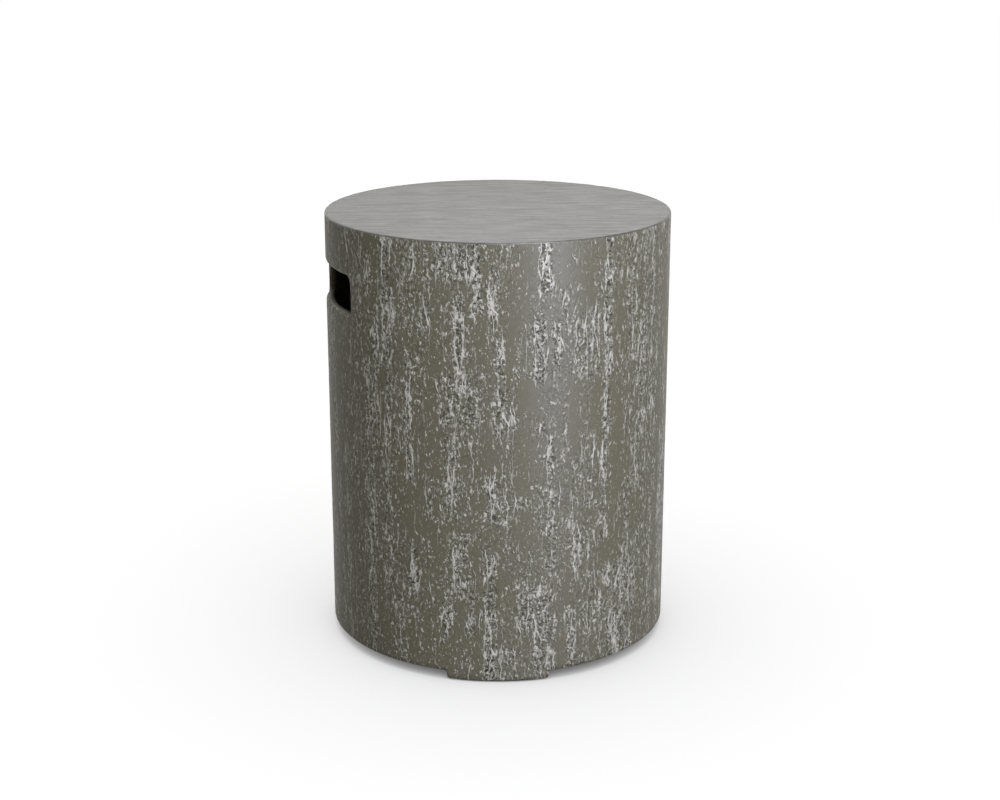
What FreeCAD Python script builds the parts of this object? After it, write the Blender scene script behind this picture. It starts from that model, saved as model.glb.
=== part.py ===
import FreeCAD, Part
import math
import os

# A round side table cast in fibre-reinforced concrete, hollow and open below, that drops over
# an upright 20 lb gas bottle and hides it. Millimetres, +Z up, the origin on the floor under the
# middle of the drum. Bearings are degrees about +Z from the front (-Y), positive towards +X.
Vector = FreeCAD.Vector
AXIS_FOOT = Vector(0, 0, 0)
UP = Vector(0, 0, 1)

# The drum
drum_diameter = 406.4
overall_height = 513.0
wall_thickness = 10.0
top_thickness = 18.0
top_edge_radius = 2.5
haunch_size = 14.0

# The thicker band round the open end, which stands just off the floor
rim_clearance = 10.6
band_thickness = 16.0
band_height = 46.0
rim_edge_bevel = 1.5

# The feet left standing between the cut-backs of the rim
foot_count = 3
foot_length = 120.0
front_foot_bearing = -15.0
foot_root_radius = 4.0
foot_toe_radius = 3.0

# The rubber pad let into the sole of each foot
pad_length = 92.0
pad_width = 9.0
pad_thickness = 3.0
pad_recess_depth = 1.5
pad_clearance = 0.2

# The two hand slots, cut straight through the wall on the X axis
slot_length = 134.0
slot_height = 43.0
slot_drop = 57.5
slot_upper_radius = 9.5
slot_lower_radius = 3.5
slot_outer_lip_radius = 5.0
slot_inner_bevel = 2.0

# The arch for the gas hose, in the rim behind
hose_arch_width = 42.0
hose_arch_height = 42.0
hose_arch_mouth_radius = 4.0

# The glass-fibre net cast into the stone: one flat piece in the top, one sleeve in the wall
strand_width = 2.5
strand_thickness = 0.8
top_net_pitch = 30.0
hoop_pitch = 58.0
upright_pitch = 51.0
stone_cover = 8.0

# How far a cutter runs past the face that it cuts, and how near a point lies on a surface
overrun = 5.0
on_surface = 0.01

# Worked out from the sizes above
outer_radius = drum_diameter / 2
inner_radius = outer_radius - wall_thickness
band_radius = outer_radius - band_thickness
ceiling = overall_height - top_thickness
sole = pad_thickness - pad_recess_depth
band_top = rim_clearance + band_height
slot_ceiling = overall_height - slot_drop
slot_floor = slot_ceiling - slot_height
foot_spacing = 360.0 / foot_count
foot_sweep = math.degrees(foot_length / outer_radius)
hose_arch_bearing = front_foot_bearing + 180.0
foot_names = ["foot_pad_front", "foot_pad_right_rear", "foot_pad_left_rear"]


def turned(shape, bearing):
    """A copy of a shape that was built facing the front, turned about the drum's axis."""
    copy = shape.copy()
    copy.rotate(AXIS_FOOT, UP, bearing)
    return copy


def closed_face(edges):
    """The flat face inside edges that are given in any order."""
    return Part.Face(Part.Wire(Part.__sortEdges__(edges)))


def line(start, end):
    """A straight edge."""
    return Part.LineSegment(start, end).toShape()


def quarter(start, centre, end):
    """A quarter-circle edge from start to end round a centre."""
    radius = start.distanceToPoint(centre)
    outwards = (start - centre) + (end - centre)
    return Part.Arc(start, centre + outwards.normalize() * radius, end).toShape()


def turned_form():
    """Wall, table top and rim band in one: the casting before anything is cut from it."""
    def at(radius, height):
        return Vector(0, -radius, height)

    shoulder = outer_radius - top_edge_radius
    haunch = inner_radius - haunch_size
    band_slope = band_thickness - wall_thickness
    outline = [
        line(at(0, ceiling), at(0, overall_height)),
        line(at(0, overall_height), at(shoulder, overall_height)),
        quarter(
            at(shoulder, overall_height),
            at(shoulder, overall_height - top_edge_radius),
            at(outer_radius, overall_height - top_edge_radius),
        ),
        line(at(outer_radius, overall_height - top_edge_radius), at(outer_radius, sole)),
        line(at(outer_radius, sole), at(band_radius, sole)),
        line(at(band_radius, sole), at(band_radius, band_top)),
        line(at(band_radius, band_top), at(inner_radius, band_top + band_slope)),
        line(at(inner_radius, band_top + band_slope), at(inner_radius, ceiling - haunch_size)),
        line(at(inner_radius, ceiling - haunch_size), at(haunch, ceiling)),
        line(at(haunch, ceiling), at(0, ceiling)),
    ]
    form = closed_face(outline).revolve(AXIS_FOOT, UP, 360)
    return turned(form, front_foot_bearing + foot_spacing / 2)


def ring_sector(inner, outer, low, high, sweep):
    """Part of a square-edged ring, from the front round by sweep degrees."""
    corners = [
        Vector(0, -inner, low),
        Vector(0, -outer, low),
        Vector(0, -outer, high),
        Vector(0, -inner, high),
    ]
    return Part.Face(Part.makePolygon(corners + corners[:1])).revolve(AXIS_FOOT, UP, sweep)


def rim_cut_back():
    """The stretch taken off the rim between one foot and the next."""
    sweep = foot_spacing - foot_sweep
    cutter = ring_sector(
        band_radius - overrun, outer_radius + overrun, sole - overrun, rim_clearance, sweep
    )
    return turned(cutter, foot_sweep / 2)


def opening_prism(width, low, high, lower_radius, upper_radius, near, far):
    """A straight cutter that faces the front, with its own radius at the upper and lower corners."""
    half = width / 2

    def at(across, height):
        return Vector(across, -far, height)

    edges = []
    for side in (-1, 1):
        edges.append(line(at(side * half, low + lower_radius), at(side * half, high - upper_radius)))
        if lower_radius:
            edges.append(
                quarter(
                    at(side * half, low + lower_radius),
                    at(side * (half - lower_radius), low + lower_radius),
                    at(side * (half - lower_radius), low),
                )
            )
        edges.append(
            quarter(
                at(side * half, high - upper_radius),
                at(side * (half - upper_radius), high - upper_radius),
                at(side * (half - upper_radius), high),
            )
        )
    for across, height in ((half - lower_radius, low), (half - upper_radius, high)):
        if across > on_surface:
            edges.append(line(at(-across, height), at(across, height)))
    return closed_face(edges).extrude(Vector(0, far - near, 0))


def hand_slots(grown_by=0.0):
    """The cutter for both hand slots, made larger all round where stone has to cover a net."""
    reach = outer_radius + overrun
    cutter = opening_prism(
        slot_length + 2 * grown_by,
        slot_floor - grown_by,
        slot_ceiling + grown_by,
        slot_lower_radius,
        slot_upper_radius,
        -reach,
        reach,
    )
    return turned(cutter, 90)


def hose_arch(grown_by=0.0):
    """The cutter for the hose arch, made larger where stone has to cover a net."""
    width = hose_arch_width + 2 * grown_by
    cutter = opening_prism(
        width,
        sole - overrun,
        hose_arch_height + grown_by,
        0,
        width / 2,
        band_radius - overrun,
        outer_radius + overrun,
    )
    return turned(cutter, hose_arch_bearing)


def edges_on(shape, radius, low, high):
    """The edges that lie wholly on a cylinder about the drum's axis, between two heights."""
    found = []
    for edge in shape.Edges:
        points = edge.discretize(5)
        if all(
            abs(math.hypot(p.x, p.y) - radius) < on_surface
            and low - on_surface < p.z < high + on_surface
            for p in points
        ):
            found.append(edge)
    return found


def radial_edges(shape, height, inner, outer):
    """The straight edges across the rim at one height, from its inner face to its outer."""
    found = []
    for edge in shape.Edges:
        ends = [vertex.Point for vertex in edge.Vertexes]
        radii = sorted(math.hypot(p.x, p.y) for p in ends)
        if (
            len(ends) == 2
            and all(abs(p.z - height) < on_surface for p in ends)
            and abs(radii[0] - inner) < on_surface
            and abs(radii[1] - outer) < on_surface
        ):
            found.append(edge)
    return found


def under_the_arch(edge):
    """Whether an edge of the rim is one of the two lower corners of the hose arch."""
    middle = edge.CenterOfMass
    away = math.degrees(math.atan2(middle.x, -middle.y)) - hose_arch_bearing
    return abs((away + 180) % 360 - 180) < math.degrees(hose_arch_width / outer_radius)


def pad_outline(length, width, height):
    """A round-ended strip that follows the foot, as a flat face that faces the front."""
    middle = outer_radius - band_thickness / 2
    half_sweep = (length - width) / 2 / middle

    def at(radius, turn):
        return Vector(radius * math.sin(turn), -radius * math.cos(turn), height)

    outer = middle + width / 2
    inner = middle - width / 2
    edges = [
        Part.Arc(at(outer, -half_sweep), at(outer, 0), at(outer, half_sweep)).toShape(),
        Part.Arc(at(inner, -half_sweep), at(inner, 0), at(inner, half_sweep)).toShape(),
    ]
    for side in (-1, 1):
        turn = side * half_sweep
        along = Vector(math.cos(turn), math.sin(turn), 0) * (side * width / 2)
        edges.append(Part.Arc(at(inner, turn), at(middle, turn) + along, at(outer, turn)).toShape())
    return closed_face(edges)


def pad_recess():
    """The shallow bed for a pad in the sole of a foot."""
    face = pad_outline(pad_length + 2 * pad_clearance, pad_width + 2 * pad_clearance, sole - overrun)
    return face.extrude(UP * (overrun + pad_recess_depth))


def foot_bearings():
    """Where the feet stand, the front one first."""
    return [front_foot_bearing + foot_spacing * n for n in range(foot_count)]


def cover_shell():
    """The casting: turned form, rim cut back between the feet, openings, then every eased edge."""
    shell = turned_form()
    for bearing in foot_bearings():
        shell = shell.cut(turned(rim_cut_back(), bearing))
    shell = shell.cut(hose_arch())
    corners = radial_edges(shell, rim_clearance, band_radius, outer_radius)
    roots = [edge for edge in corners if not under_the_arch(edge)]
    shell = shell.makeFillet(foot_root_radius, roots)
    corners = radial_edges(shell, rim_clearance, band_radius, outer_radius)
    mouth = [edge for edge in corners if under_the_arch(edge)]
    shell = shell.makeFillet(hose_arch_mouth_radius, mouth)
    toes = radial_edges(shell, sole, band_radius, outer_radius)
    shell = shell.makeFillet(foot_toe_radius, toes)
    for radius in (outer_radius, band_radius):
        shell = shell.makeChamfer(rim_edge_bevel, edges_on(shell, radius, sole, hose_arch_height))
    shell = shell.cut(hand_slots())
    outer_rims = edges_on(shell, outer_radius, slot_floor, slot_ceiling)
    shell = shell.makeFillet(slot_outer_lip_radius, outer_rims)
    inner_rims = edges_on(shell, inner_radius, slot_floor, slot_ceiling)
    shell = shell.makeChamfer(slot_inner_bevel, inner_rims)
    for bearing in foot_bearings():
        shell = shell.cut(turned(pad_recess(), bearing))
    return shell


def foot_pad():
    """One rubber pad, flat against the bed of its recess and proud of the sole."""
    return pad_outline(pad_length, pad_width, 0).extrude(UP * pad_thickness)


def top_net():
    """The flat net half-way up the top: one round sheet with square gaps."""
    radius = outer_radius - stone_cover
    low = overall_height - (top_thickness + strand_thickness) / 2
    half_gap = (top_net_pitch - strand_width) / 2
    rows = int(radius / top_net_pitch)
    wires = [Part.Wire(Part.makeCircle(radius, Vector(0, 0, low), UP))]
    for row in range(-rows, rows + 1):
        for column in range(-rows, rows + 1):
            x = column * top_net_pitch
            y = row * top_net_pitch
            if math.hypot(abs(x) + half_gap, abs(y) + half_gap) > radius - strand_width:
                continue
            corners = [
                Vector(x + i * half_gap, y + j * half_gap, low)
                for i, j in ((-1, -1), (1, -1), (1, 1), (-1, 1), (-1, -1))
            ]
            wires.append(Part.makePolygon(corners))
    return Part.makeFace(wires, "Part::FaceMakerBullseye").extrude(UP * strand_thickness)


def wall_net():
    """The sleeve of net in the wall: uprights laid on hoops, both kept clear of the openings."""
    middle = outer_radius - wall_thickness / 2
    low = rim_clearance + stone_cover
    high = ceiling - haunch_size
    uprights = int(2 * math.pi * middle / upright_pitch)
    step = 2 * math.pi / uprights
    seat = middle - strand_width / 2 * math.tan(step / 2)

    def corners(radius, height):
        turns = [step * n for n in range(uprights)]
        around = [Vector(radius * math.sin(t), -radius * math.cos(t), height) for t in turns]
        return Part.makePolygon(around + around[:1])

    hoops = int((high - low - strand_width) / hoop_pitch)
    pitch = (high - low - strand_width) / hoops
    strands = []
    for n in range(hoops + 1):
        floor = low + n * pitch
        wires = [corners(middle + strand_thickness, floor), corners(middle, floor)]
        ring = Part.makeFace(wires, "Part::FaceMakerBullseye")
        strands.append(ring.extrude(UP * strand_width))
    for n in range(uprights):
        strip = Part.makeBox(strand_width, strand_thickness, high - low)
        strip.translate(Vector(-strand_width / 2, -seat, low))
        strands.append(turned(strip, math.degrees(step * n)))
    openings = hand_slots(stone_cover).fuse(hose_arch(stone_cover))
    net = [turned(strand, hose_arch_bearing + 180.0 / uprights) for strand in strands]
    return Part.makeCompound([piece for strand in net for piece in strand.cut(openings).Solids])


def write(shape, name):
    """Saves one piece and prints what a maker would check on it."""
    box = shape.BoundBox
    print(
        f"{name}: {len(shape.Solids)} solid(s), valid {shape.isValid()}, "
        f"{shape.Volume / 1000:.1f} cm3, z {box.ZMin:.2f} to {box.ZMax:.2f}"
    )
    shape.exportStep(f"parts/{name}.step")


os.makedirs("parts", exist_ok=True)
write(cover_shell(), "cover_shell")
write(top_net(), "top_scrim")
write(wall_net(), "wall_scrim")
for name, bearing in zip(foot_names, foot_bearings()):
    write(turned(foot_pad(), bearing), name)
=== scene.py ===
import math

import bmesh
import bpy
import numpy as np
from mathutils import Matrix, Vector, noise
from mathutils.geometry import delaunay_2d_cdt
from mathutils.kdtree import KDTree


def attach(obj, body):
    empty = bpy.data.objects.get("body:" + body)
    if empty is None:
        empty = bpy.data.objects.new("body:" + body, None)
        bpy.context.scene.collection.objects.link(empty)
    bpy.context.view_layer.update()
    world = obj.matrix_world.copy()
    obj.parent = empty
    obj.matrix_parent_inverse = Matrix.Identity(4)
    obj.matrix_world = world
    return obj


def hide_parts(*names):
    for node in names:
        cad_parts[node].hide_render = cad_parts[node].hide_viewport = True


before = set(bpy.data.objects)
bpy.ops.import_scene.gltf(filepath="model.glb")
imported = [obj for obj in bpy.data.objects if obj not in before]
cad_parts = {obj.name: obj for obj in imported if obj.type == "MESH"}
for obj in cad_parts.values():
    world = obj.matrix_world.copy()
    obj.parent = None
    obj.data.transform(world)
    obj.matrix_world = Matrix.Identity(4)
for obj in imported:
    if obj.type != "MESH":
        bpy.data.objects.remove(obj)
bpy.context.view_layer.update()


# The casting: wall, table top, rim band and three feet in one piece of glass-fibre-reinforced
# stone. It is pressed into a mould lined with the travertine texture, with the net laid in by
# hand, and the drum comes out whole, so there is no joint between the top and the wall.
MM = 0.001
drum_radius = 203.2
overall_height = 513.0
wall_thickness = 10.0
inner_radius = drum_radius - wall_thickness
half_turn = math.pi * drum_radius
FACE, TOP, BACK, ARRIS = 0, 1, 2, 3

# In millimetres, how far apart the points of an edge stand, and how near two sizes count as the
# same. The gap is how many of its own steps a sheet keeps its inner points from its edges.
outline_step = 2.6
tolerance = 0.01
outline_gap = 0.6


def arc(centre, radius, start, end, steps):
    """Points of an arc from one angle to another, both ends included."""
    turns = [math.radians(start + (end - start) * n / steps) for n in range(steps + 1)]
    return [(centre[0] + radius * math.cos(t), centre[1] + radius * math.sin(t)) for t in turns]


def between(start, end, step):
    """Points along a straight stretch, without its ends, at most a step apart."""
    count = math.ceil(math.dist(start, end) / step)
    return [
        (start[0] + (end[0] - start[0]) * n / count, start[1] + (end[1] - start[1]) * n / count)
        for n in range(1, count)
    ]


def ring(radius, height, count):
    """Evenly spaced points round the drum, starting behind: (radius, turn, height)."""
    return [(radius, math.pi * (2 * n / count - 1), height) for n in range(count)]


def within(xs, ys, loop):
    """Which of many points lie inside a closed outline."""
    inside = np.zeros(len(xs), bool)
    for (ax, ay), (bx, by) in zip(loop, loop[1:] + loop[:1]):
        if ay != by:
            crosses = (ay > ys) != (by > ys)
            inside ^= crosses & (xs < (bx - ax) * (ys - ay) / (by - ay) + ax)
    return inside


class Casting:
    """The points and faces of the casting as they are laid down, with the finish of each face.

    A chart says where faces lie on the square sheet that their finishes are baked on, in the
    wall's own millimetres: left and low, then a strip's step and rise or a sheet's scale.
    """

    def __init__(self):
        self.points = []
        self.places = {}
        self.faces = []
        self.finishes = []
        self.chart = []

    def point(self, radius, turn, height):
        spot = (radius * math.sin(turn), -radius * math.cos(turn), height)
        key = tuple(round(value, 3) for value in spot)
        if key not in self.places:
            self.places[key] = len(self.points)
            self.points.append(spot)
        return self.places[key]

    def face(self, corners, finish, chart):
        """One face; corners that fall on one point are taken once."""
        kept = {}
        for corner, spot in zip(corners, chart):
            kept.setdefault(corner, spot)
        if len(kept) > 2:
            self.faces.append(list(kept))
            self.finishes.append(finish)
            self.chart.append(list(kept.values()))

    def strip(self, first, second, finish, chart, closed=False):
        """A band of faces between two rows of as many points, each (radius, turn, height)."""
        left, low, step, rise = chart
        last = len(first) - 1
        for n in range(last + closed):
            after = 0 if n == last else n + 1
            spots = (first[n], first[after], second[after], second[n])
            corners = [self.point(*spot) for spot in spots]
            start, end, high = left + step * n, left + step * (n + 1), low + rise
            self.face(corners, finish, [(start, low), (end, low), (end, high), (start, high)])

    def sheet(self, border, holes, step, rise, place, finish, chart):
        """Fills a flat outline with even triangles and lays them where place says."""
        loops = [border] + holes
        flat = [point for loop in loops for point in loop]
        near_outline = KDTree(len(flat))
        for n, (x, y) in enumerate(flat):
            near_outline.insert((x / step, y / rise, 0), n)
        near_outline.balance()
        left, low = np.min(border, axis=0)
        right, high = np.max(border, axis=0)
        rows = int((high - low) / rise)
        columns = int((right - left) / step)
        row, column = np.mgrid[1:rows, 0:columns + 1].reshape(2, -1)
        xs = left + (right - left) * (column + 0.5 * (row % 2)) / columns
        ys = low + (high - low) * row / rows
        kept = within(xs, ys, border) & (xs > left + step / 4) & (xs < right - step / 4)
        for hole in holes:
            kept &= ~within(xs, ys, hole)
        for x, y in zip(xs[kept].tolist(), ys[kept].tolist()):
            if near_outline.find((x / step, y / rise, 0))[2] > outline_gap:
                flat.append((x, y))
        edges = []
        start = 0
        for loop in loops:
            count = len(loop)
            edges += [(start + n, start + (n + 1) % count) for n in range(count)]
            start += count
        squeezed = [Vector((x / step, y / rise)) for x, y in flat]
        inside_only, same_place = 1, 1e-5
        filled = delaunay_2d_cdt(squeezed, edges, [], inside_only, same_place)
        triangles, sources = filled[2:4]
        triangles = [[sources[n][0] for n in triangle] for triangle in triangles]
        middles = np.array([[flat[n] for n in triangle] for triangle in triangles]).mean(axis=1)
        open_here = np.zeros(len(triangles), bool)
        for hole in holes:
            open_here |= within(middles[:, 0], middles[:, 1], hole)
        left, low, scale = chart
        for triangle, is_open in zip(triangles, open_here):
            if not is_open:
                corners = [self.point(*place(*flat[n])) for n in triangle]
                spots = [(left + flat[n][0] * scale, low + flat[n][1] * scale) for n in triangle]
                self.face(corners, finish, spots)


casting = Casting()

# The hand slots, one each side, left by two plugs in the mould. The plug's upper corners are
# rounder than its lower ones, and the wall rolls into the slot over a soft lip.
slot_half_length = 67.0
slot_ceiling = 455.5
slot_floor = 412.5
slot_upper_radius = 9.5
slot_lower_radius = 3.5
slot_outer_lip_radius = 5.0
slot_inner_bevel = 2.0
slot_bearings = (-90.0, 90.0)
slot_chart_lefts = (430, 850)
slot_chart_low = 870
chart_row = 4
points_along_slot = 56
points_up_slot = 12


def slot_outline(grown_by):
    """The outline of a hand slot as (across, height) points, made larger all round."""
    low_side = slot_half_length - slot_lower_radius
    high_side = slot_half_length - slot_upper_radius
    low = slot_floor + slot_lower_radius
    high = slot_ceiling - slot_upper_radius
    lower = slot_lower_radius + grown_by
    upper = slot_upper_radius + grown_by
    corners = [
        arc((low_side, low), lower, -90, 0, steps=5),
        arc((high_side, high), upper, 0, 90, steps=8),
        arc((-high_side, high), upper, 90, 180, steps=8),
        arc((-low_side, low), lower, 180, 270, steps=5),
    ]
    points = []
    for n, (corner, following) in enumerate(zip(corners, corners[1:] + corners[:1])):
        (ax, ay), (bx, by) = corner[-1], following[0]
        count = points_along_slot if n % 2 else points_up_slot
        points += corner
        for k in range(1, count):
            points.append((ax + (bx - ax) * k / count, ay + (by - ay) * k / count))
    return points


lip_rows = []
for angle in range(0, 91, 15):
    lean = math.radians(angle)
    depth = slot_outer_lip_radius * (1 - math.cos(lean))
    grown_by = slot_outer_lip_radius * (1 - math.sin(lean))
    lip_rows.append((drum_radius - depth, slot_outline(grown_by)))
lip_rows.append((inner_radius + slot_inner_bevel, slot_outline(0.0)))
lip_rows.append((inner_radius, slot_outline(slot_inner_bevel)))
slots = []
for bearing, left in zip(slot_bearings, slot_chart_lefts):
    turn = math.radians(bearing)
    slot = [
        [(radius, turn + math.asin(across / radius), height) for across, height in outline]
        for radius, outline in lip_rows
    ]
    slots.append(slot)
    for n, (first, second) in enumerate(zip(slot, slot[1:])):
        finish = BACK if n == len(slot) - 2 else FACE
        chart = (left, slot_chart_low + chart_row * n, outline_step, chart_row)
        casting.strip(first, second, finish, chart, closed=True)

# The rim with its three feet and the hose arch behind. The mould's base ring carries blocks that
# cut the rim back, so a foot is the wall itself, left standing, with a rubber pad in its sole.
rim_clearance = 10.6
rim_edge_bevel = 1.5
sole = 1.5
foot_half_length = 60.0
foot_bearings = (-135.0, -15.0, 105.0)
foot_root_radius = 4.0
foot_toe_radius = 3.0
arch_bearing = 165.0
arch_half_width = 21.0
arch_height = 42.0
arch_mouth_radius = 4.0
band_thickness = 16.0
band_radius = drum_radius - band_thickness
rim_chart_low = 940


def rim_outline(inset):
    """The lower edge of the wall once round from behind, moved into the stone by inset.

    Each point is (bearing in radians, across, height): the sides of the feet follow a radius,
    and the sides of the arch are parallel, at a distance across from its middle.
    """
    root = foot_root_radius + inset
    toe = foot_toe_radius - inset
    mouth = arch_mouth_radius - inset
    level = rim_clearance + inset
    cursor = (-half_turn, level)
    flat = [cursor]
    for bearing in foot_bearings:
        middle = math.radians(bearing) * drum_radius
        for side, first, last in ((-1, 90, 0), (1, 180, 90)):
            root_middle = middle + side * (foot_half_length + foot_root_radius)
            toe_middle = middle + side * (foot_half_length - foot_toe_radius)
            start = 180 + 90 * (side > 0)
            root_centre = (root_middle, rim_clearance - foot_root_radius)
            root_arc = arc(root_centre, root, first, last, steps=5)
            toe_centre = (toe_middle, sole + foot_toe_radius)
            toe_arc = arc(toe_centre, toe, start, start + 90, steps=4)
            run = root_arc + toe_arc if side < 0 else toe_arc + root_arc
            flat += between(cursor, run[0], outline_step) + run
            cursor = run[-1]
    outline = [(along / drum_radius, 0.0, height) for along, height in flat]

    turn = math.radians(arch_bearing)
    mouth_side = arch_half_width + arch_mouth_radius
    mouth_height = rim_clearance + arch_mouth_radius
    arch = arc((-mouth_side, mouth_height), mouth, 270, 360, steps=5)
    arch += arc((0, arch_height - arch_half_width), arch_half_width + inset, 180, 0, steps=26)
    arch += arc((mouth_side, mouth_height), mouth, 180, 270, steps=5)
    edge = math.asin(mouth_side / drum_radius)
    step = outline_step / drum_radius
    before = between((outline[-1][0], level), (turn - edge, level), step)
    after = between((turn + edge, level), (math.pi, level), step)
    outline += [(bearing, 0.0, height) for bearing, height in before]
    outline += [(turn, across, height) for across, height in arch]
    outline += [(bearing, 0.0, height) for bearing, height in after]
    return outline + [(math.pi, 0.0, level)]


def rim_row(inset, radius):
    """The rim's lower edge on a cylinder about the drum's axis: (radius, turn, height)."""
    return [
        (radius, turn + math.asin(across / radius), height)
        for turn, across, height in rim_outline(inset)
    ]


# From below: outer bevel, underside and inner bevel. The underside leaves out the feet, where
# the soles go.
underside = (
    (drum_radius, rim_edge_bevel),
    (drum_radius - rim_edge_bevel, 0.0),
    (drum_radius - band_thickness / 3, 0.0),
    (drum_radius - 2 * band_thickness / 3, 0.0),
    (band_radius + rim_edge_bevel, 0.0),
    (band_radius, rim_edge_bevel),
)
rim_rows = [rim_row(inset, radius) for radius, inset in underside]
spans = []
for bearing in foot_bearings:
    turn = math.radians(bearing)
    reach = foot_half_length / drum_radius
    spans.append([
        n for n, (_, at, height) in enumerate(rim_rows[1])
        if abs(height - sole) < tolerance and abs(at - turn) < reach
    ])
for n, (first, second) in enumerate(zip(rim_rows, rim_rows[1:])):
    finish = FACE if n == 0 else BACK
    chart = (0, rim_chart_low + (chart_row + 1) * n, outline_step, chart_row)
    if n in (0, len(rim_rows) - 2):
        casting.strip(first, second, finish, chart)
        continue
    cursor = 0
    for span in spans:
        casting.strip(first[cursor:span[0] + 1], second[cursor:span[0] + 1], finish, chart)
        cursor = span[-1]
    casting.strip(first[cursor:], second[cursor:], finish, chart)

# The soles, each with the round-ended recess that a pad is let into.
recess_length = 92.4
recess_width = 9.4
recess_depth = 1.5
sole_step = 2.6
sole_rise = 2.2
sole_middle = drum_radius - band_thickness / 2
sole_chart_lefts = (430, 630, 830)
sole_chart_low, recess_chart_low, bed_chart_low = 800, 830, 850
recess_chart_row = 2
points_along_half = 15
points_round_end = 10


def recess_outline():
    """The edge of a pad's recess, which follows its foot: (radius, turn from the foot's middle)."""
    end = recess_width / 2
    half_sweep = (recess_length - recess_width) / 2 / sole_middle
    shares = [n / points_along_half - 1 for n in range(2 * points_along_half + 1)]
    outer = [(sole_middle + end, half_sweep * share) for share in shares]
    inner = [(sole_middle - end, half_sweep * -share) for share in shares]
    right_end = arc((0, 0), end, 90, -90, steps=points_round_end)[1:-1]
    left_end = arc((0, 0), end, 270, 90, steps=points_round_end)[1:-1]
    right = [(sole_middle + y, half_sweep + x / sole_middle) for x, y in right_end]
    left = [(sole_middle + y, x / sole_middle - half_sweep) for x, y in left_end]
    return outer + right + inner + left


def level_place(height):
    """Lays a sheet level at a height, drawn with its arc length along and its radius across."""
    return lambda along, across: (across, along / sole_middle, height)


for n, (bearing, span) in enumerate(zip(foot_bearings, spans)):
    turn = math.radians(bearing)
    left_end, right_end = ([row[k] for row in rim_rows[1:-1]] for k in (span[0], span[-1]))
    outer = [rim_rows[1][k] for k in span]
    inner = [rim_rows[-2][k] for k in span]
    edge = outer + right_end[1:-1] + inner[::-1] + left_end[1:-1][::-1]
    flat_edge = [(t * sole_middle, radius) for radius, t, _ in edge]
    recess = [(radius, turn + away) for radius, away in recess_outline()]
    flat_recess = [(t * sole_middle, radius) for radius, t in recess]
    left = sole_chart_lefts[n] - turn * sole_middle
    chart = (left, sole_chart_low - sole_middle, 1)
    casting.sheet(flat_edge, [flat_recess], sole_step, sole_rise, level_place(sole), BACK, chart)
    bed = sole + recess_depth
    chart = (left, bed_chart_low - sole_middle, 1)
    casting.sheet(flat_recess, [], sole_step, sole_rise, level_place(bed), BACK, chart)
    sides = [[(radius, t, height) for radius, t in recess] for height in (sole, bed)]
    low = recess_chart_low + (recess_chart_row + 1) * n
    chart = (sole_chart_lefts[0], low, outline_step, recess_chart_row)
    casting.strip(*sides, BACK, chart, closed=True)

# The wall's outer face, from the bevel of the rim to the arris, round both hand slots. The
# texture runs up the wall, so its points lie closest across it.
face_step = 1.9
face_rise = 4.6
top_edge_radius = 2.5
arris_points = 2 * round(half_turn / outline_step)
arris_height = overall_height - top_edge_radius
face_chart = (half_turn, 0, 1)


def upright_place(radius):
    """Lays a sheet round the drum at a radius, drawn with its arc length along."""
    return lambda along, height: (radius, along / radius, height)


border = [(turn * drum_radius, height) for _, turn, height in rim_rows[0]]
seam = between(border[-1], (half_turn, arris_height), face_rise)
top_line = [(half_turn * (2 * n / arris_points - 1), arris_height) for n in range(arris_points + 1)]
casting.sheet(
    border + seam + top_line[::-1] + [(-half_turn, height) for _, height in seam][::-1],
    [[(turn * drum_radius, height) for _, turn, height in slot[0]] for slot in slots],
    face_step,
    face_rise,
    upright_place(drum_radius),
    FACE,
    face_chart,
)

# The arris, eased by hand with a stone, and the flat top inside it. The streaks of the top run
# square to the front foot, and the stone takes the relief off most of the arris.
shoulder_radius = drum_radius - top_edge_radius
grain_turn = math.radians(-15.0)
streak_length = 11.0
streak_width = 1.5
arris_steps = 5
arris_chart_low = 514
top_chart = (210, 730, 1)


def along_grain(x, y):
    """A place on the top as (along, across) its streaks."""
    return (
        x * math.cos(grain_turn) + y * math.sin(grain_turn),
        -x * math.sin(grain_turn) + y * math.cos(grain_turn),
    )


def top_place(along, across):
    """Where a place given along and across the streaks lies on the top."""
    x = along * math.cos(grain_turn) - across * math.sin(grain_turn)
    y = along * math.sin(grain_turn) + across * math.cos(grain_turn)
    return (math.hypot(x, y), math.atan2(x, -y), overall_height)


eased = arc((shoulder_radius, arris_height), top_edge_radius, 0, 90, steps=arris_steps)
rows = [ring(radius, height, arris_points) for radius, height in eased]
# All arris strips but the lowest take the dark arris finish, which is partly painted shade
for n, (first, second) in enumerate(zip(rows, rows[1:])):
    finish = ARRIS if n else FACE
    casting.strip(first, second, finish, (0, arris_chart_low + n, outline_step, 1), closed=True)
rim_of_top = [along_grain(radius * math.sin(t), -radius * math.cos(t)) for radius, t, _ in rows[-1]]
casting.sheet(rim_of_top, [], streak_length, streak_width, top_place, TOP, top_chart)

# The back of the casting, as the roller leaves it: the thick band at the rim, the slope above it,
# the wall, and the haunch that stiffens the corner under the top.
back_step = 9.0
back_rise = 11.0
ring_points = 144
top_thickness = 18.0
haunch_size = 14.0
haunch_steps = 3
band_height = 46.0
band_top = rim_clearance + band_height
slope_top = band_top + band_thickness - wall_thickness
ceiling = overall_height - top_thickness
haunch_foot = ceiling - haunch_size
back_chart_left, back_chart_scale = 1000, 0.4
band_chart_low, inner_chart_low = 520, 540
slope_chart = (430, 760, 3, 4)
haunch_chart_left, haunch_chart_low, haunch_chart_step, haunch_chart_row = 430, 766, 3, 5
ceiling_chart = (600, 640, 0.6)


def round_line(radius, height):
    """A level line round the back, unrolled: (along, height)."""
    reach = math.pi * radius
    return [(reach * (2 * n / ring_points - 1), height) for n in range(ring_points + 1)]


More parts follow.
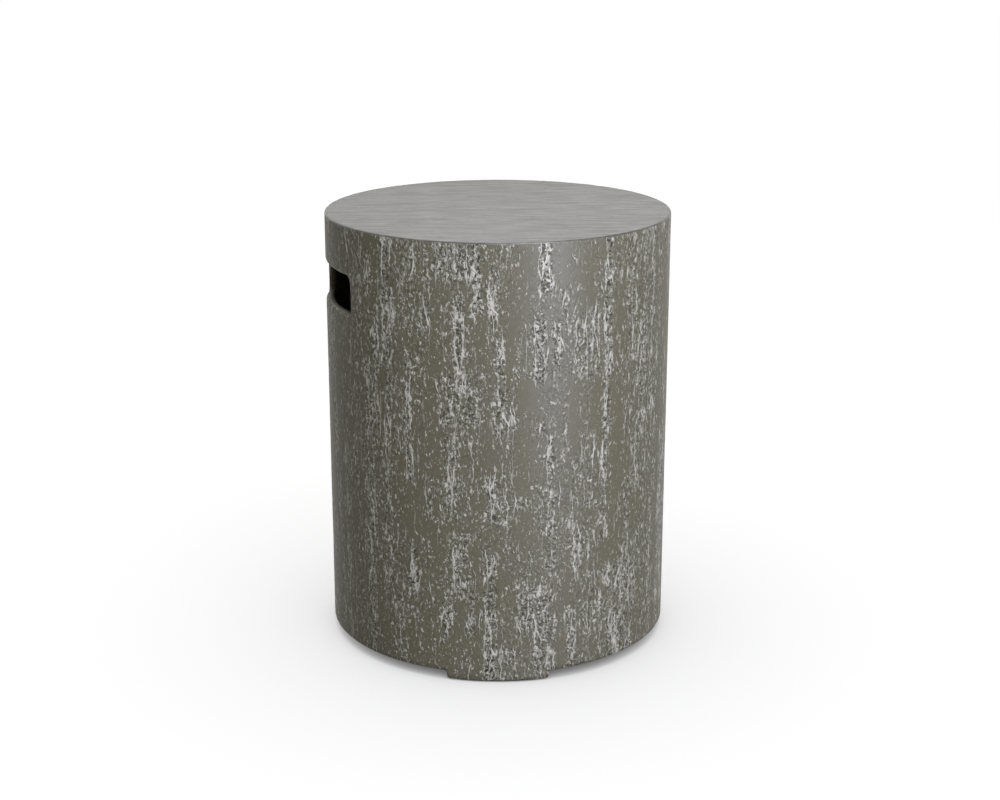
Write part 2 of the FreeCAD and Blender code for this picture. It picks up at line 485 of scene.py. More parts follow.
def back_sheet(radius, low_line, high_line, holes, step, rise, low):
    """An upright face of the back between a lower and an upper line."""
    seam = between(low_line[-1], high_line[-1], back_rise)
    left_seam = [(-along, height) for along, height in seam]
    casting.sheet(
        low_line + seam + high_line[::-1] + left_seam[::-1],
        holes,
        step,
        rise,
        upright_place(radius),
        BACK,
        (back_chart_left, low, back_chart_scale),
    )


band_edge = [(turn * band_radius, height) for _, turn, height in rim_rows[-1]]
back_sheet(
    band_radius,
    band_edge,
    round_line(band_radius, band_top),
    [],
    back_step / 2,
    back_step / 2,
    band_chart_low,
)
back_sheet(
    inner_radius,
    round_line(inner_radius, slope_top),
    round_line(inner_radius, haunch_foot),
    [[(turn * inner_radius, height) for _, turn, height in slot[-1]] for slot in slots],
    back_step,
    back_rise,
    inner_chart_low,
)
slope = [ring(band_radius, band_top, ring_points), ring(inner_radius, slope_top, ring_points)]
casting.strip(*slope, BACK, slope_chart, closed=True)
haunch_rows = []
for n in range(haunch_steps + 1):
    reach = haunch_size * n / haunch_steps
    haunch_rows.append(ring(inner_radius - reach, haunch_foot + reach, ring_points))
for n, (first, second) in enumerate(zip(haunch_rows, haunch_rows[1:])):
    low = haunch_chart_low + haunch_chart_row * n
    chart = (haunch_chart_left, low, haunch_chart_step, haunch_chart_row)
    casting.strip(first, second, BACK, chart, closed=True)
casting.sheet(
    [(radius * math.sin(t), -radius * math.cos(t)) for radius, t, _ in haunch_rows[-1]],
    [],
    back_step,
    back_step,
    lambda x, y: (math.hypot(x, y), math.atan2(x, -y), ceiling),
    BACK,
    ceiling_chart,
)

# The relief that the mould's lining gives the face: upright veins of raised grain, with plain
# stone between them. The main veins of the front are listed one by one, as a mould maker sets
# them: the degrees round from the front foot, the lowest and highest millimetre, half the width,
# and how thickly the grain stands. So are the plainest places between them: degrees, lowest,
# highest and half the width. Elsewhere the veins fall freely. Both fade past their ends, in
# millimetres, and from a core to an edge, in shares of half the width.
front_veins = (
    (-59.5, -15, 255, 4.0, 0.65), (-56.0, 290, 370, 2.5, 0.5), (-50.0, 395, 490, 4.0, 0.6),
    (-45.5, -15, 370, 6.0, 0.75), (-45.5, 440, 490, 3.5, 0.9), (-42.5, 280, 410, 4.0, 0.8),
    (-37.5, 365, 530, 5.0, 0.85), (-37.5, 90, 360, 4.0, 0.65), (-34.0, 250, 300, 3.0, 0.6),
    (-33.0, 55, 90, 5.0, 0.7), (-28.5, 400, 530, 8.0, 0.5), (-29.5, 235, 390, 4.5, 0.75),
    (-28.5, 100, 160, 3.5, 0.95), (-22.5, 400, 480, 5.0, 0.45), (-22.0, 195, 245, 4.0, 0.6),
    (-17.0, 50, 95, 5.0, 0.9), (-15.0, 195, 300, 6.0, 0.7), (-12.5, 305, 365, 13.0, 0.75),
    (-13.5, 470, 530, 12.0, 0.8), (-12.5, 350, 455, 5.0, 0.85), (-12.0, 100, 180, 8.0, 0.7),
    (-8.5, 50, 130, 3.0, 0.7), (-6.5, 435, 530, 4.5, 0.95), (-3.0, 45, 160, 5.0, 0.8),
    (-2.5, -15, 45, 4.0, 1.0), (-2.0, 190, 250, 6.0, 0.75), (-1.5, 430, 490, 4.0, 0.7),
    (0.5, 290, 410, 4.0, 0.85), (4.0, 205, 225, 11.0, 0.7), (4.0, -15, 45, 9.0, 0.6),
    (9.0, 60, 120, 6.0, 0.85), (14.5, -15, 120, 9.0, 0.85), (13.0, 355, 430, 6.0, 1.0),
    (13.0, 295, 312, 5.0, 1.0), (15.0, 455, 530, 5.0, 1.0), (16.5, 245, 295, 5.0, 0.95),
    (17.0, 120, 235, 5.0, 0.75), (18.5, 360, 425, 4.0, 1.0), (21.0, 415, 460, 4.0, 0.8),
    (24.5, -15, 85, 5.0, 0.7), (26.0, 130, 185, 5.0, 0.8), (28.0, 200, 275, 8.0, 0.6),
    (29.0, 355, 430, 12.0, 0.75), (37.0, 285, 530, 4.0, 0.95), (36.0, 160, 285, 4.0, 0.8),
    (32.0, 60, 125, 8.0, 0.7), (43.0, -15, 130, 14.0, 0.8), (50.0, 60, 125, 7.0, 0.8),
    (48.5, -15, 40, 5.0, 1.0), (46.5, 130, 235, 4.0, 0.6), (47.5, 365, 530, 6.0, 0.7),
    (51.5, 205, 270, 8.0, 0.7), (54.0, 270, 440, 6.0, 0.75), (55.0, 440, 530, 5.0, 0.6),
    (60.0, 300, 530, 3.5, 0.9), (61.5, 60, 190, 4.0, 0.7), (61.5, -15, 60, 4.0, 0.6),
)
front_plain = (
    (-42.0, 60, 130, 4.5), (-33.0, 235, 265, 4.0), (-28.0, 180, 225, 8.0), (-21.0, 285, 365, 5.0),
    (-20.0, 235, 275, 4.0), (-5.0, 370, 430, 5.0), (-4.0, 255, 300, 3.5), (4.0, 375, 420, 5.0),
    (8.0, 165, 205, 10.0), (8.0, 235, 270, 10.0), (8.5, 320, 360, 8.0), (23.0, 90, 125, 5.0),
    (25.0, 270, 350, 6.0), (29.0, 440, 500, 7.0), (42.0, 235, 330, 5.0), (42.0, 400, 440, 4.0),
)
front_reach = 63.0
fade_inside, fade_past = 6, 8
vein_core, vein_edge = 0.7, 2.1
plain_core, plain_edge = 0.8, 1.4


def smooth_step(low, high, value):
    """0 below low, 1 above high, with an even turn between."""
    share = min(max((value - low) / (high - low), 0.0), 1.0)
    return share * share * (3 - 2 * share)


def between_ends(low, high, z):
    """1 between the ends of a vein or a plain place, fading to 0 a little past them."""
    above = smooth_step(low - fade_past, low + fade_inside, z)
    return above * smooth_step(high + fade_past, high - fade_inside, z)


def grain_at(x, y, z):
    """How much raised grain the face has at a place in millimetres: 0 is plain, 1 is dense.

    The free veins are upright noise, a few times as tall as wide, that leans where wander
    does. Each listed vein sways and swells on its own.
    """
    wander = 9.0 * noise.noise(Vector((x / 60, y / 60, z / 95 + 7.0)))
    broad = noise.noise(Vector(((x + wander) / 34, (y + wander) / 34, z / 300)))
    narrow = noise.noise(Vector(((x + wander) / 15 + 31.0, (y + wander) / 15, z / 150)))
    patch = noise.noise(Vector(((x + wander) / 24, (y + wander) / 24 + 17.0, z / 50)))
    free = smooth_step(-0.5, 0.36, 0.6 * broad + 0.8 * narrow + 0.6 * patch)
    bearing = math.degrees(math.atan2(x, -y)) - foot_bearings[1]
    away = abs((bearing + 180) % 360 - 180)
    fading = smooth_step(front_reach - 3, front_reach + 6, away)
    if fading == 1:
        return free
    # Between the listed veins a thin scatter of the free grain stays
    dense = 0.10 + 0.26 * free
    for n, (middle, low, high, half_width, thickness) in enumerate(front_veins):
        if low - fade_past < z < high + fade_past:
            sway = 2.6 * noise.noise(Vector((3.0 * n, 0.5, z / 38)))
            swell = 1.2 + 0.8 * noise.noise(Vector((3.0 * n, 9.5, z / 17)))
            off = abs(math.radians(bearing - middle) * drum_radius + sway) / (half_width * swell)
            if off < vein_edge:
                ends = between_ends(low, high, z)
                dense = max(dense, thickness * ends * smooth_step(vein_edge, vein_core, off))
    for n, (middle, low, high, half_width) in enumerate(front_plain):
        if low - fade_past < z < high + fade_past:
            sway = 3.0 * noise.noise(Vector((4.0 * n, 20.5, z / 15)))
            off = abs(math.radians(bearing - middle) * drum_radius + sway) / half_width
            if off < plain_edge:
                ends = between_ends(low, high, z)
                dense *= 1 - ends * smooth_step(plain_edge, plain_core, off)
    return dense * (1 - fading) + free * fading


casting_mesh = bpy.data.meshes.new("cast_drum")
casting_mesh.from_pydata(casting.points, [], casting.faces)
casting_mesh.polygons.foreach_set("material_index", casting.finishes)
casting_mesh.shade_smooth()
chart = casting_mesh.uv_layers.new(name="OFBake")
chart_side = 2 * half_turn
chart_spots = [spot for spots in casting.chart for spot in spots]
chart.data.foreach_set("uv", [value / chart_side for spot in chart_spots for value in spot])
work = bmesh.new()
work.from_mesh(casting_mesh)
bmesh.ops.recalc_face_normals(work, faces=work.faces)
work.to_mesh(casting_mesh)
work.free()

# Every point then moves into the stone by its depth, in millimetres: on the face by the grain's
# crests and mounds, on the top by the streaks of rubbing, on the back by lumps.
face_depth, grain_depth, swell_depth = 0.22, 0.3, 0.10
top_depth, streak_depth = 0.07, 0.06
back_depth, lump_depth, fine_lump_depth = 0.35, 0.5, 0.2
top_margin = 6
plain_rim = 20
grain = []
places = []
for vertex in casting_mesh.vertices:
    x, y, z = vertex.co
    radius = math.hypot(x, y)
    depth = 0.0
    dense = 0.0
    if radius > shoulder_radius - tolerance and z > sole:
        dense = grain_at(x, y, z)
        crest = abs(noise.noise(Vector((x / 6.5, y / 6.5, z / 24 + 3.0))))
        mound = noise.noise(Vector((x / 5.0 + 11.0, y / 5.0, z / 9.0)))
        depth = face_depth + grain_depth * dense * (1.5 * crest + 0.6 * mound)
        swell = noise.noise(Vector((x / 40, y / 40, z / 160)))
        depth = max(depth + swell_depth * swell, 0.0)
    elif z > overall_height - tolerance:
        along, across = along_grain(x, y)
        streak = noise.noise(Vector((along / 42, across / 3.1, 0.0)))
        streak += 0.6 * noise.noise(Vector((along / 70, across / 7.5, 5.0)))
        from_edge = smooth_step(0, top_margin, shoulder_radius - radius)
        depth = (top_depth + streak_depth * streak) * from_edge
    elif radius < inner_radius + tolerance and z > plain_rim:
        depth = back_depth + lump_depth * noise.noise(Vector((x / 28, y / 28, z / 28)))
        depth += fine_lump_depth * noise.noise(Vector((x / 11, y / 11, z / 11)))
    grain.append(dense)
    places.append((vertex.co - vertex.normal * depth) * MM)
casting_mesh.vertices.foreach_set("co", [value for place in places for value in place])
casting_mesh.attributes.new("grain", "FLOAT", "POINT").data.foreach_set("value", grain)
casting_mesh.update()
sharp_from = 50
casting_mesh.set_sharp_from_angle(angle=math.radians(sharp_from))

cast_drum = bpy.data.objects.new("cast_drum", casting_mesh)
bpy.context.scene.collection.objects.link(cast_drum)


def paint(code):
    """An sRGB hex colour as the linear colour that Blender's sockets take."""
    channels = [int(code[n:n + 2], 16) / 255 for n in (1, 3, 5)]
    linear = [c / 12.92 if c <= 0.04045 else ((c + 0.055) / 1.055) ** 2.4 for c in channels]
    return (*linear, 1.0)


def per(size):
    """The texture scale that makes a pattern's cells this many millimetres wide."""
    return 1 / (size * MM)


def add_node(tree, kind, inputs, **settings):
    """Adds one node with its settings; a node given as an input stands for its first output."""
    node = tree.nodes.new(kind)
    for name, value in settings.items():
        setattr(node, name, value)
    for name, value in inputs.items():
        if isinstance(value, bpy.types.Node):
            value = value.outputs[0]
        if isinstance(value, bpy.types.NodeSocket):
            tree.links.new(value, node.inputs[name])
        else:
            node.inputs[name].default_value = value
    return node


# The sockets of a colour Mix node: its factor, its two colours and its result
FACTOR, FIRST, SECOND, MIXED = 0, 6, 7, 2


def new_material(name):
    """An empty material: the material, its node tree and the surface socket."""
    material = bpy.data.materials.new(name)
    material.use_nodes = True
    material.node_tree.nodes.clear()
    output = material.node_tree.nodes.new("ShaderNodeOutputMaterial")
    return material, material.node_tree, output.inputs["Surface"]


# The travertine face: cast stone that took the veins and worm holes of its mould, stained dark
# olive, rubbed pale on what stands proud, and sealed. The eye sees a dark ground with a slight
# satin, and on it worms, crumbs and upright strands that catch the light. Round them and in the
# worm holes the colour is darkened: painted shade.
travertine, tree, surface = new_material("sealed_travertine_face")
here = add_node(tree, "ShaderNodeTexCoord", {}).outputs["Object"]
dense = add_node(tree, "ShaderNodeAttribute", {}, attribute_name="grain").outputs["Fac"]
drift = add_node(tree, "ShaderNodeTexNoise", {"Vector": here, "Scale": per(26.0), "Detail": 1.0})
wander = add_node(
    tree,
    "ShaderNodeVectorMath",
    {0: drift.outputs["Color"], 1: (0.006, 0.006, 0.010), 2: here},
    operation="MULTIPLY_ADD",
)
ragged = add_node(tree, "ShaderNodeTexNoise", {"Vector": here, "Scale": per(4.5), "Detail": 2.0})
torn = add_node(
    tree,
    "ShaderNodeVectorMath",
    {0: ragged.outputs["Color"], 1: (0.0030, 0.0030, 0.0050), 2: wander},
    operation="MULTIPLY_ADD",
)

# Long wavy strands, about 8 mm apart, that show here and there; crumbs gather along them
upright = add_node(tree, "ShaderNodeMapping", {"Vector": torn, "Scale": (1.0, 1.0, 0.13)})
web = add_node(
    tree,
    "ShaderNodeTexVoronoi",
    {"Vector": upright, "Scale": per(8.0)},
    feature="DISTANCE_TO_EDGE",
)
beside = add_node(tree, "ShaderNodeMapRange", {"Value": web, "From Min": 0.22, "From Max": 0.06})
beads = add_node(tree, "ShaderNodeMath", {0: beside, 1: dense}, operation="MULTIPLY")
line = add_node(tree, "ShaderNodeMapRange", {"Value": web, "From Min": 0.07, "From Max": 0.025})
breaks = add_node(tree, "ShaderNodeTexNoise", {"Vector": upright, "Scale": per(6.0), "Detail": 2.0})
breaks = add_node(tree, "ShaderNodeMath", {0: dense, 1: 0.22, 2: breaks}, operation="MULTIPLY_ADD")
breaks = add_node(tree, "ShaderNodeMapRange", {"Value": breaks, "From Min": 0.62, "From Max": 0.76})
strand = add_node(tree, "ShaderNodeMath", {0: line, 1: breaks}, operation="MULTIPLY")
# A dark ring beside the strands, darkened further down with the worm holes: painted shade round
# what stands proud
ring_shade = add_node(tree, "ShaderNodeMapRange", {"Value": web, "From Min": 0.20, "From Max": 0.10})
ring_shade = add_node(tree, "ShaderNodeMath", {0: ring_shade, 1: breaks}, operation="MULTIPLY")

# Worms: crumbs that ran together, where a ragged noise passes a level that falls as the grain gets
# denser. Each line has a patch's width and height in millimetres, the levels where nothing and
# everything is covered, and how pale it is.
worms = (
    (3.2, 6.6, 0.63, 0.74, 0.80),
    (2.3, 4.6, 0.65, 0.76, 0.50),
)
clumps = add_node(tree, "ShaderNodeTexNoise", {"Vector": wander, "Scale": per(16.0), "Detail": 1.0})
clump = add_node(tree, "ShaderNodeMapRange", {"Value": clumps, "From Min": 0.48, "From Max": 0.68})
thick = add_node(tree, "ShaderNodeMath", {0: beads, 1: 0.6, 2: dense}, operation="MULTIPLY_ADD")
thick = add_node(tree, "ShaderNodeMath", {0: clump, 1: 0.25, 2: thick}, operation="MULTIPLY_ADD")
raised = 0.0
for width, tall, bare, full, strength in worms:
    drawn = add_node(tree, "ShaderNodeMapping", {"Vector": torn, "Scale": (1.0, 1.0, width / tall)})
    blots = add_node(
        tree,
        "ShaderNodeTexNoise",
        {"Vector": drawn, "Scale": per(width), "Detail": 2.0, "Roughness": 0.6},
    )
    blot = add_node(tree, "ShaderNodeMath", {0: thick, 1: 0.10, 2: blots}, operation="MULTIPLY_ADD")
    blot = add_node(
        tree, "ShaderNodeMapRange", {"Value": blot, "From Min": bare, "From Max": full}
    )
    blot = add_node(tree, "ShaderNodeMath", {0: blot, 1: strength}, operation="MULTIPLY")
    raised = add_node(tree, "ShaderNodeMath", {0: raised, 1: blot}, operation="MAXIMUM")

# Lone crumbs: a cell's width and height in millimetres, how many there are in a dense vein, how
# many in a scattered clump, the smallest and largest reach in the cell, and how pale.
crumbs = (
    (4.8, 6.0, 0.30, 0.08, 0.20, 0.36, 1.0),
    (3.0, 4.0, 0.45, 0.12, 0.24, 0.44, 0.70),
)
for width, tall, share, scattered, smallest, largest, strength in crumbs:
    drawn = add_node(tree, "ShaderNodeMapping", {"Vector": torn, "Scale": (1.0, 1.0, width / tall)})
    cells = add_node(tree, "ShaderNodeTexVoronoi", {"Vector": drawn, "Scale": per(width)})
    colours = add_node(tree, "ShaderNodeSeparateColor", {"Color": cells.outputs["Color"]}).outputs
    odds_lot, size_lot, tone_lot = colours
    odds = add_node(tree, "ShaderNodeMath", {0: clump, 1: scattered}, operation="MULTIPLY")
    odds = add_node(tree, "ShaderNodeMath", {0: dense, 1: share, 2: odds}, operation="MULTIPLY_ADD")
    odds = add_node(tree, "ShaderNodeMath", {0: odds, 1: odds_lot}, operation="SUBTRACT")
    present = add_node(tree, "ShaderNodeMapRange", {"Value": odds, "From Max": 0.10})
    reach = add_node(
        tree,
        "ShaderNodeMapRange",
        {"Value": size_lot, "To Min": smallest, "To Max": largest},
    )
    depth = add_node(
        tree, "ShaderNodeMath", {0: reach, 1: cells.outputs["Distance"]}, operation="SUBTRACT"
    )
    inside = add_node(
        tree, "ShaderNodeMapRange", {"Value": depth, "From Min": -0.10, "From Max": 0.10}
    )
    round_it = add_node(
        tree, "ShaderNodeMapRange", {"Value": depth, "From Min": -0.26, "From Max": -0.06}
    )
    pale = add_node(
        tree,
        "ShaderNodeMapRange",
        {"Value": tone_lot, "To Min": 0.3 * strength, "To Max": strength},
    )
    crumb = add_node(tree, "ShaderNodeMath", {0: present, 1: inside}, operation="MULTIPLY")
    crumb = add_node(tree, "ShaderNodeMath", {0: crumb, 1: pale}, operation="MULTIPLY")
    raised = add_node(tree, "ShaderNodeMath", {0: raised, 1: crumb}, operation="MAXIMUM")
    # A ring round the foot of each crumb, darkened further down: painted shade
    foot = add_node(tree, "ShaderNodeMath", {0: present, 1: round_it}, operation="MULTIPLY")
    ring_shade = add_node(tree, "ShaderNodeMath", {0: ring_shade, 1: foot}, operation="MAXIMUM")

# Worm holes that cut through them, then the strands on top, and the ground's own patches, sand
# and grey film.
holes = add_node(tree, "ShaderNodeTexNoise", {"Vector": torn, "Scale": per(3.4), "Detail": 1.0})
pit = add_node(tree, "ShaderNodeMapRange", {"Value": holes, "From Min": 0.49, "From Max": 0.38})
pit = add_node(tree, "ShaderNodeMath", {0: pit, 1: dense}, operation="MULTIPLY")
whole = add_node(tree, "ShaderNodeMath", {0: 1.0, 1: pit}, operation="SUBTRACT")
raised = add_node(tree, "ShaderNodeMath", {0: raised, 1: whole}, operation="MULTIPLY")
strand = add_node(tree, "ShaderNodeMath", {0: strand, 1: 0.85}, operation="MULTIPLY")
raised = add_node(tree, "ShaderNodeMath", {0: raised, 1: strand}, operation="MAXIMUM")
ring_shade = add_node(tree, "ShaderNodeMath", {0: ring_shade, 1: 0.45}, operation="MULTIPLY")
dark = add_node(tree, "ShaderNodeMath", {0: pit, 1: ring_shade}, operation="MAXIMUM")
tall_patches = add_node(tree, "ShaderNodeMapping", {"Vector": here, "Scale": (1.0, 1.0, 0.35)})
patches = add_node(
    tree, "ShaderNodeTexNoise", {"Vector": tall_patches, "Scale": per(40.0), "Detail": 3.0}
)
patch = add_node(tree, "ShaderNodeMapRange", {"Value": patches, "From Min": 0.4, "From Max": 0.6})
ground = add_node(
    tree,
    "ShaderNodeMix",
    {FACTOR: patch, FIRST: paint("#5f5c4e"), SECOND: paint("#605d51")},
    data_type="RGBA",
).outputs[MIXED]
sand = add_node(tree, "ShaderNodeTexNoise", {"Vector": here, "Scale": per(2.4), "Detail": 3.0})
sand = add_node(tree, "ShaderNodeMapRange", {"Value": sand, "To Min": 0.8, "To Max": 1.2})
ground = add_node(tree, "ShaderNodeVectorMath", {0: ground, "Scale": sand}, operation="SCALE")
film = add_node(tree, "ShaderNodeMath", {0: dense, 1: 0.15}, operation="MULTIPLY")
ground = add_node(
    tree,
    "ShaderNodeMix",
    {FACTOR: film, FIRST: ground, SECOND: paint("#8f8e80")},
    data_type="RGBA",
).outputs[MIXED]
# The worm holes and the rings round crumbs and strands are darkened here: painted shade in the
# holes and round what stands proud.
ground = add_node(
    tree,
    "ShaderNodeMix",
    {FACTOR: dark, FIRST: ground, SECOND: paint("#34322b")},
    data_type="RGBA",
).outputs[MIXED]
colour = add_node(
    tree,
    "ShaderNodeMix",
    {FACTOR: raised, FIRST: ground, SECOND: paint("#c3c2bb")},
    data_type="RGBA",
).outputs[MIXED]
height = add_node(tree, "ShaderNodeMath", {0: pit, 1: -0.5, 2: raised}, operation="MULTIPLY_ADD")
bump = add_node(tree, "ShaderNodeBump", {"Strength": 1.0, "Distance": 0.0008, "Height": height})
gloss = add_node(tree, "ShaderNodeMapRange", {"Value": raised, "To Min": 0.44, "To Max": 0.34})
shader = add_node(
    tree,
    "ShaderNodeBsdfPrincipled",
    {
        "Base Color": colour,
        "Roughness": gloss,
        "IOR": 1.5,
        "Specular IOR Level": 0.08,
        "Normal": bump,
    },
)
tree.links.new(shader.outputs[0], surface)
casting_mesh.materials.append(travertine)

# The top: the same stone, rubbed down level after casting, so that the veins show as fine pale
# lines and shallow scratches all one way, some 4 mm apart and up to 40 mm long.
rubbed_top, tree, surface = new_material("rubbed_travertine_top")
here = add_node(tree, "ShaderNodeTexCoord", {}).outputs["Object"]
turned = add_node(tree, "ShaderNodeMapping", {"Vector": here, "Rotation": (0, 0, -grain_turn)})
lines = add_node(tree, "ShaderNodeMapping", {"Vector": turned, "Scale": (0.10, 1.0, 1.0)})
veins = add_node(tree, "ShaderNodeTexNoise", {"Vector": lines, "Scale": per(3.6), "Detail": 3.0})
vein = add_node(tree, "ShaderNodeMapRange", {"Value": veins, "From Min": 0.32, "From Max": 0.68})
grit = add_node(tree, "ShaderNodeTexNoise", {"Vector": turned, "Scale": per(5.0), "Detail": 3.0})
grit = add_node(tree, "ShaderNodeMapRange", {"Value": grit, "To Min": 0.80, "To Max": 1.20})
colour = add_node(
    tree,
    "ShaderNodeMix",
    {FACTOR: vein, FIRST: paint("#676663"), SECOND: paint("#868582")},
    data_type="RGBA",
).outputs[MIXED]
colour = add_node(tree, "ShaderNodeVectorMath", {0: colour, "Scale": grit}, operation="SCALE")
bump = add_node(tree, "ShaderNodeBump", {"Strength": 0.5, "Distance": 0.0002, "Height": veins})
shader = add_node(
    tree,
    "ShaderNodeBsdfPrincipled",
    {
        "Base Color": colour,
        "Roughness": 0.6,
        "IOR": 1.5,
        "Specular IOR Level": 0.25,
        "Normal": bump,
    },
)
tree.links.new(shader.outputs[0], surface)
casting_mesh.materials.append(rubbed_top)

# The back of the casting: stone and chopped glass fibre pressed on with a roller, never stained or
# sealed, so it is dull and lumpy.
cast_back, tree, surface = new_material("rolled_back_of_casting")
here = add_node(tree, "ShaderNodeTexCoord", {}).outputs["Object"]
fibres = add_node(tree, "ShaderNodeTexNoise", {"Vector": here, "Scale": per(6.0), "Detail": 4.0})
fibre = add_node(tree, "ShaderNodeMapRange", {"Value": fibres, "From Min": 0.3, "From Max": 0.7})
colour = add_node(
    tree,
    "ShaderNodeMix",
    {FACTOR: fibre, FIRST: paint("#4d4b44"), SECOND: paint("#6b6961")},
    data_type="RGBA",
).outputs[MIXED]
bump = add_node(tree, "ShaderNodeBump", {"Strength": 0.5, "Distance": 0.0008, "Height": fibres})
shader = add_node(
    tree,
    "ShaderNodeBsdfPrincipled",
    {
        "Base Color": colour,
        "Roughness": 0.85,
        "IOR": 1.5,
        "Specular IOR Level": 0.2,
        "Normal": bump,
    },
)
tree.links.new(shader.outputs[0], surface)
casting_mesh.materials.append(cast_back)

# The arris: eased with a stone after the top was rubbed, then stained and sealed again. Its colour,
# darker than the face's, is partly stain and partly painted shade: the thin dark line of shade
# round the top. It shines where it turns to the light.
arris_stain_and_shade, tree, surface = new_material("arris_stain_and_shade")
here = add_node(tree, "ShaderNodeTexCoord", {}).outputs["Object"]
wear = add_node(tree, "ShaderNodeTexNoise", {"Vector": here, "Scale": per(9.0), "Detail": 3.0})
wear = add_node(tree, "ShaderNodeMapRange", {"Value": wear, "From Min": 0.35, "From Max": 0.65})
# These two darks are partly stain and partly painted shade along the top's edge
colour = add_node(
    tree,
    "ShaderNodeMix",
    {FACTOR: wear, FIRST: paint("#2b2a25"), SECOND: paint("#47453d")},
    data_type="RGBA",
).outputs[MIXED]
shader = add_node(
    tree,
    "ShaderNodeBsdfPrincipled",
    {"Base Color": colour, "Roughness": 0.32, "IOR": 1.5, "Specular IOR Level": 0.6},
)
tree.links.new(shader.outputs[0], surface)
casting_mesh.materials.append(arris_stain_and_shade)

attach(cast_drum, "root")
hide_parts("cover_shell")

# The nets: open squares of alkali-resistant glass roving, laid into the wet stone by hand and
# covered by it, so they show only where a casting is cut open.
glass_net, tree, surface = new_material("glass_roving_net")
here = add_node(tree, "ShaderNodeTexCoord", {}).outputs["Object"]
rovings = add_node(tree, "ShaderNodeTexNoise", {"Vector": here, "Scale": per(1.1), "Detail": 2.0})
colour = add_node(
    tree,
    "ShaderNodeMix",
    {FACTOR: rovings, FIRST: paint("#c9cdc4"), SECOND: paint("#eef0ea")},
    data_type="RGBA",
).outputs[MIXED]
bump = add_node(tree, "ShaderNodeBump", {"Strength": 0.4, "Distance": 0.0002, "Height": rovings})
shader = add_node(
    tree,
    "ShaderNodeBsdfPrincipled",
    {"Base Color": colour, "Roughness": 0.4, "IOR": 1.55, "Normal": bump},
)
tree.links.new(shader.outputs[0], surface)
for name in ("top_scrim", "wall_scrim"):
    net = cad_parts[name]
    net.data.materials.clear()
    net.data.materials.append(glass_net)


# The rubber pads: a strip of extruded black EPDM, cut to length with round ends and stuck in the
# sole of each foot.
pad_rubber, tree, surface = new_material("black_epdm_strip")
here = add_node(tree, "ShaderNodeTexCoord", {}).outputs["Object"]
skin = add_node(tree, "ShaderNodeTexNoise", {"Vector": here, "Scale": per(0.7), "Detail": 3.0})
colour = add_node(
    tree,
    "ShaderNodeMix",
    {FACTOR: skin, FIRST: paint("#1c1c1b"), SECOND: paint("#2c2c2a")},
    data_type="RGBA",
).outputs[MIXED]
bump = add_node(tree, "ShaderNodeBump", {"Strength": 0.4, "Distance": 0.0001, "Height": skin})
shader = add_node(
    tree,
    "ShaderNodeBsdfPrincipled",
    {"Base Color": colour, "Roughness": 0.75, "IOR": 1.52, "Normal": bump},
)
tree.links.new(shader.outputs[0], surface)
for name in ("foot_pad_front", "foot_pad_right_rear", "foot_pad_left_rear"):
    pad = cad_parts[name]
    pad.data.materials.clear()
    pad.data.materials.append(pad_rubber)


# The studio: a white floor and backdrop that keep the drum's soft contact shadow, one tall softbox
# at the front right, a small low box, below the height of the top, that shows only as sheen in
# the seal, a weak lamp behind, and the camera.
scene = bpy.context.scene
scene.view_settings.view_transform = "Standard"


def sees_white(tree):
    """1 for a ray from the camera, a gloss or a glass, which meets the white background."""
    rays = add_node(tree, "ShaderNodeLightPath", {}).outputs
    seen = rays["Is Camera Ray"]
    for kind in ("Is Glossy Ray", "Is Transmission Ray"):
        seen = add_node(tree, "ShaderNodeMath", {0: seen, 1: rays[kind]}, operation="MAXIMUM")
    return seen


bpy.ops.mesh.primitive_circle_add(vertices=96, radius=9.0, fill_type="NGON", location=(0, 0, 0))
floor = bpy.context.object
floor.name = "studio_floor"
white_floor, tree, surface = new_material("studio_white_floor")
seen = sees_white(tree)
plain = add_node(tree, "ShaderNodeBsdfDiffuse", {"Color": (0.2, 0.19, 0.165, 1)})
shaded = add_node(tree, "ShaderNodeBsdfDiffuse", {"Color": (0.04, 0.04, 0.04, 1)})
contact = add_node(tree, "ShaderNodeAmbientOcclusion", {"Distance": 0.6}).outputs["AO"]
deep = add_node(
    tree,
    "ShaderNodeMapRange",
    {"Value": contact, "From Min": 0.12, "From Max": 0.62, "To Min": 0.6, "To Max": 1.0},
)
contact = add_node(tree, "ShaderNodeMath", {0: contact, 1: 0.5}, operation="POWER")
contact = add_node(tree, "ShaderNodeMath", {0: contact, 1: deep}, operation="MULTIPLY")
glow = add_node(tree, "ShaderNodeEmission", {"Color": (1, 1, 1, 1), "Strength": contact})
bright = add_node(tree, "ShaderNodeAddShader", {0: shaded, 1: glow})
mixed = add_node(tree, "ShaderNodeMixShader", {0: seen, 1: plain, 2: bright})
tree.links.new(mixed.outputs[0], surface)
floor.data.materials.append(white_floor)

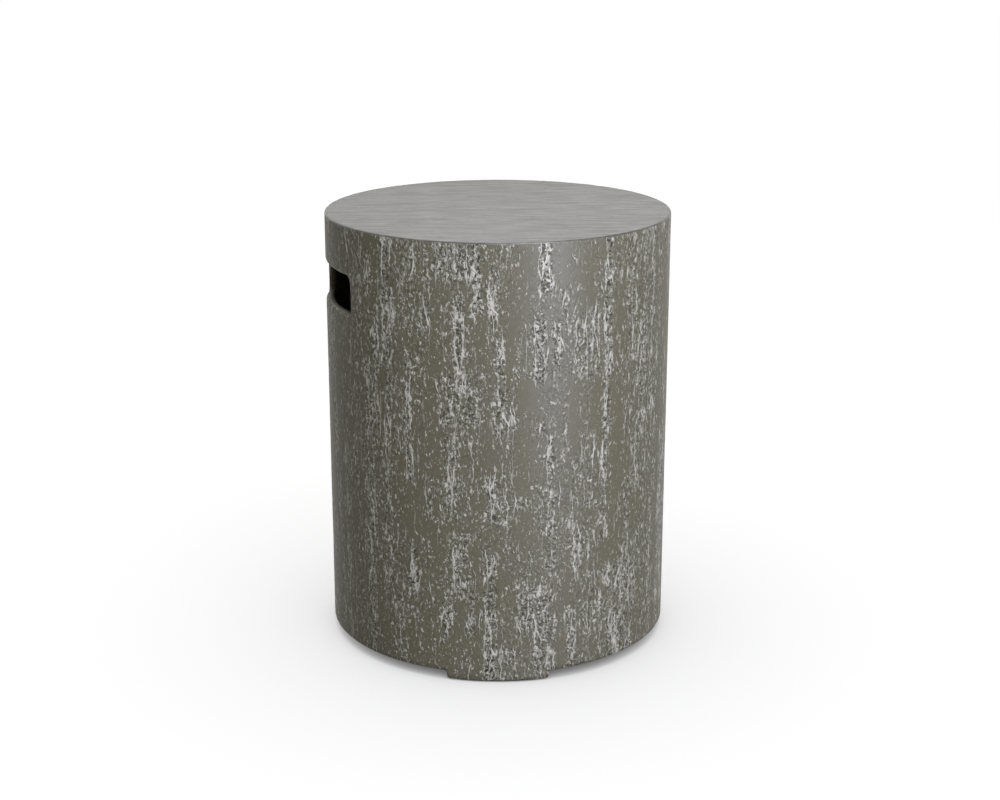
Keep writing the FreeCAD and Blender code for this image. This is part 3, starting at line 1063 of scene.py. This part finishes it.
world = bpy.data.worlds.new("studio")
scene.world = world
world.use_nodes = True
world.node_tree.nodes.clear()
tree = world.node_tree
seen = sees_white(tree)
strength = add_node(tree, "ShaderNodeMapRange", {"Value": seen, "To Min": 0.215, "To Max": 1.0})
tint = add_node(
    tree,
    "ShaderNodeMix",
    {FACTOR: seen, FIRST: (1.05, 0.98, 0.70, 1), SECOND: (1, 1, 1, 1)},
    data_type="RGBA",
).outputs[MIXED]
sky = add_node(tree, "ShaderNodeBackground", {"Color": tint, "Strength": strength})
world_output = tree.nodes.new("ShaderNodeOutputWorld")
tree.links.new(sky.outputs[0], world_output.inputs["Surface"])

camera_bearing = -15.0


def place_lamp(name, bearing, elevation, distance, width, height, power, tint=(1.0, 1.0, 1.0)):
    """A rectangular lamp that faces the middle of the drum, by its bearing from the camera's."""
    lamp_data = bpy.data.lights.new(name, "AREA")
    lamp_data.shape = "RECTANGLE"
    lamp_data.size = width
    lamp_data.size_y = height
    lamp_data.energy = power
    lamp_data.color = tint
    lamp = bpy.data.objects.new(name, lamp_data)
    turn = math.radians(camera_bearing + bearing)
    rise = math.radians(elevation)
    lamp.location = (
        distance * math.cos(rise) * math.sin(turn),
        -distance * math.cos(rise) * math.cos(turn),
        distance * math.sin(rise) + overall_height * MM / 2,
    )
    lamp.rotation_euler = (math.pi / 2 - rise, 0, turn)
    bpy.context.scene.collection.objects.link(lamp)
    return lamp


sheen_box = place_lamp(
    "sheen_box",
    bearing=34.0,
    elevation=0.0,
    distance=2.5,
    width=0.4,
    height=0.48,
    power=170.0,
    tint=(1.0, 1.04, 1.28),
)
sheen_box.visible_diffuse = False
place_lamp(
    "softbox",
    bearing=24.0,
    elevation=38.0,
    distance=2.8,
    width=1.7,
    height=2.2,
    power=113.0,
    tint=(0.98, 1.0, 1.10),
)
place_lamp(
    "back_lamp", bearing=180.0, elevation=60.0, distance=3.2, width=2.4, height=1.6, power=38.0
)

camera_data = bpy.data.cameras.new("camera")
camera_data.sensor_fit = "HORIZONTAL"
camera_data.sensor_width = 36.0
camera_data.lens = 65.1
camera = bpy.data.objects.new("camera", camera_data)
camera_distance = 2.100
camera_height = 0.900
camera.location = (
    camera_distance * math.sin(math.radians(camera_bearing)),
    -camera_distance * math.cos(math.radians(camera_bearing)),
    camera_height,
)
camera_pitch = 16.5
camera_swing = -0.072
camera.rotation_euler = (
    math.radians(90 - camera_pitch),
    0,
    math.radians(camera_bearing + camera_swing),
)
scene.collection.objects.link(camera)
scene.camera = camera
